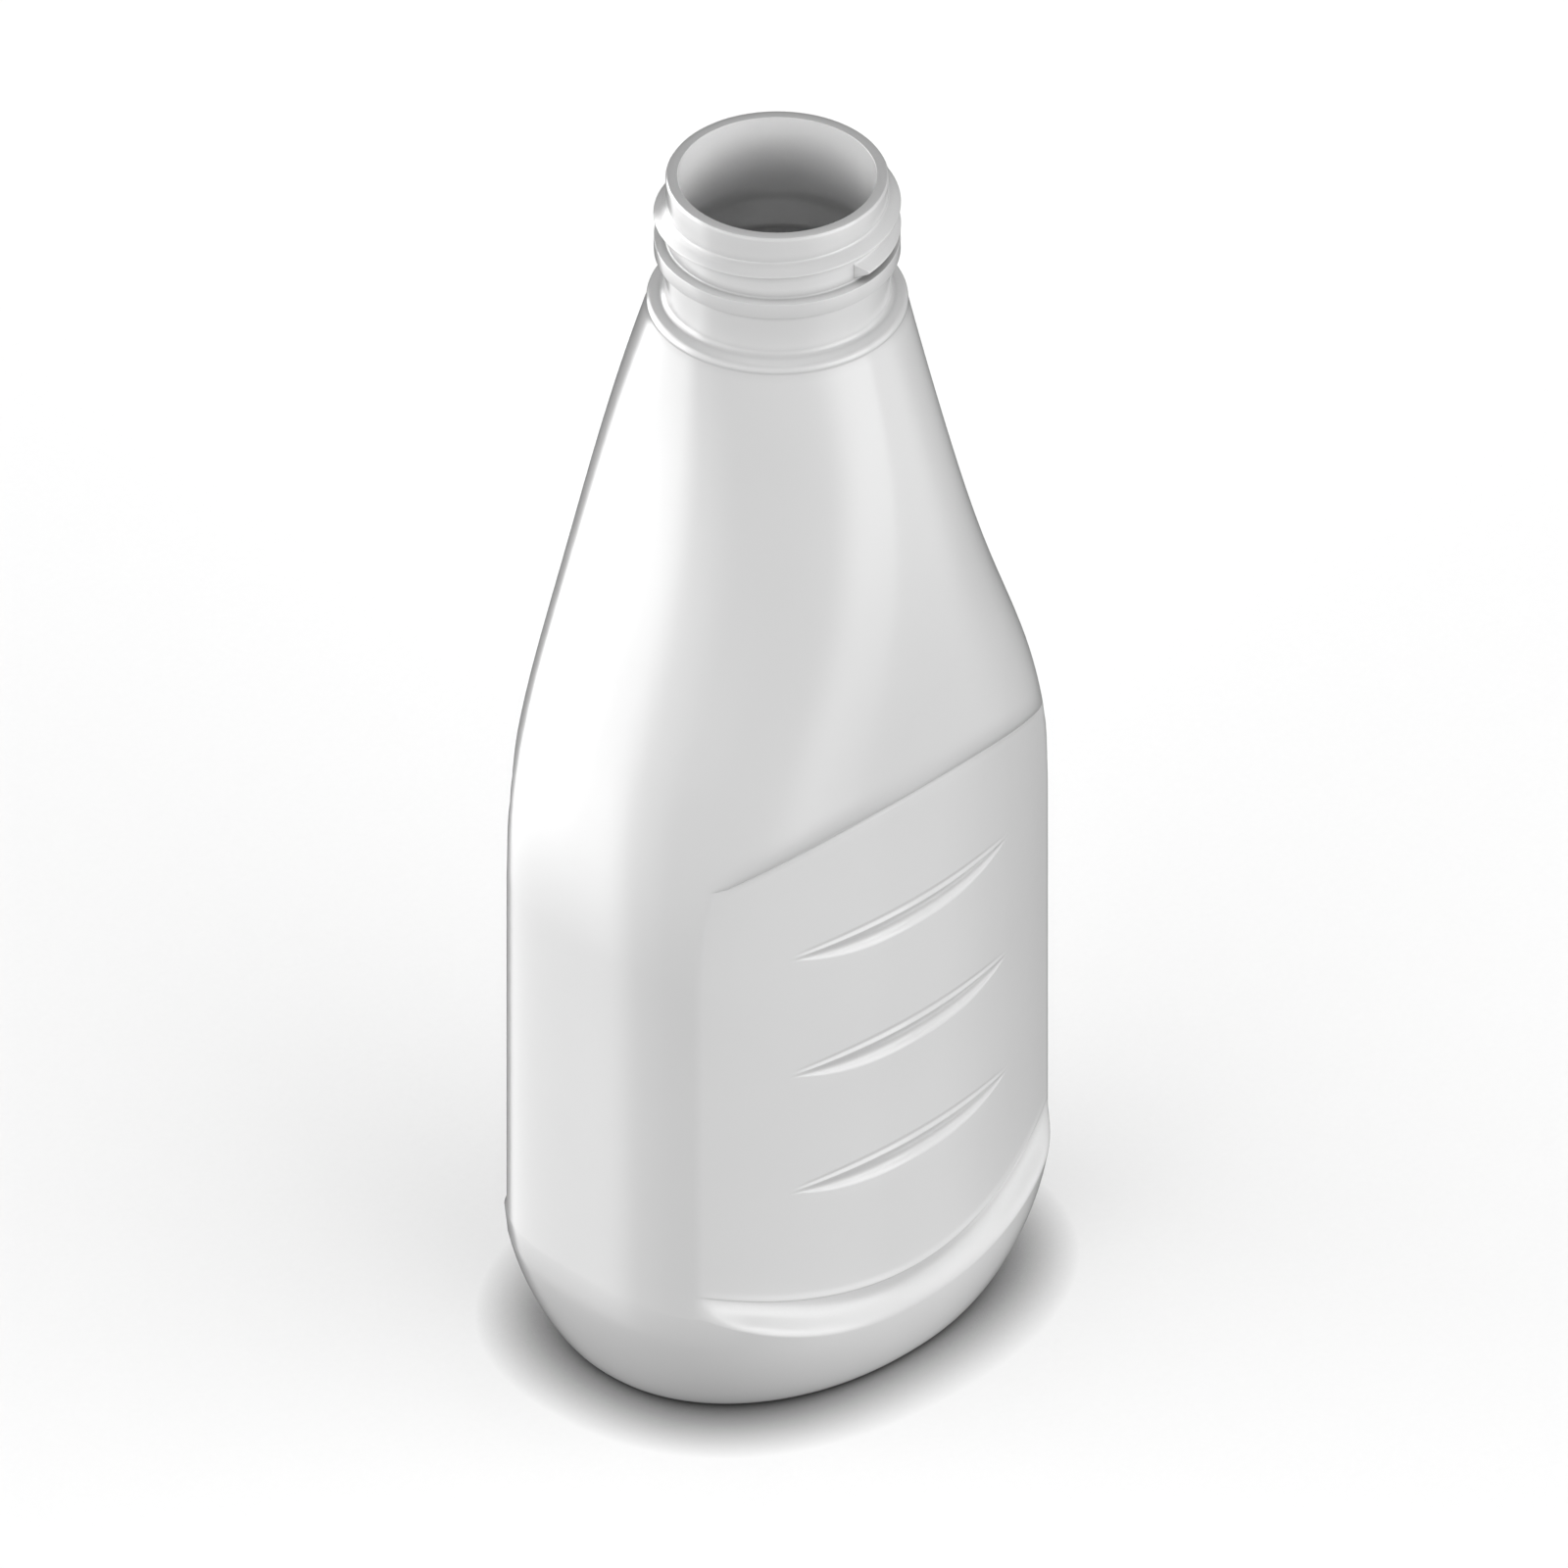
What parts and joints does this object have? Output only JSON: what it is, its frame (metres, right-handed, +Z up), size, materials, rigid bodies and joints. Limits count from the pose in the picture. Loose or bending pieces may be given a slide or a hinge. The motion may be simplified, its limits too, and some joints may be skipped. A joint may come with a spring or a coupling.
{
  "type": "rectangular bottle",
  "caption": "Blow-moulded bottle of rounded rectangular plan with an open screw neck, a long sloping shoulder and bowed label panels with finger scoops.",
  "frame": {"origin": "on the plane of the standing ring, under the neck axis", "axes": "+X across the narrow ends, +Y across the broad label faces, +Z up out of the mouth"},
  "size_m": [0.0834, 0.061, 0.205],
  "materials": {
    "hdpe_white": "smooth moulded gloss"
  },
  "bodies": {
    "root": {"bottle": "hdpe_white"}
  },
  "joints": []
}
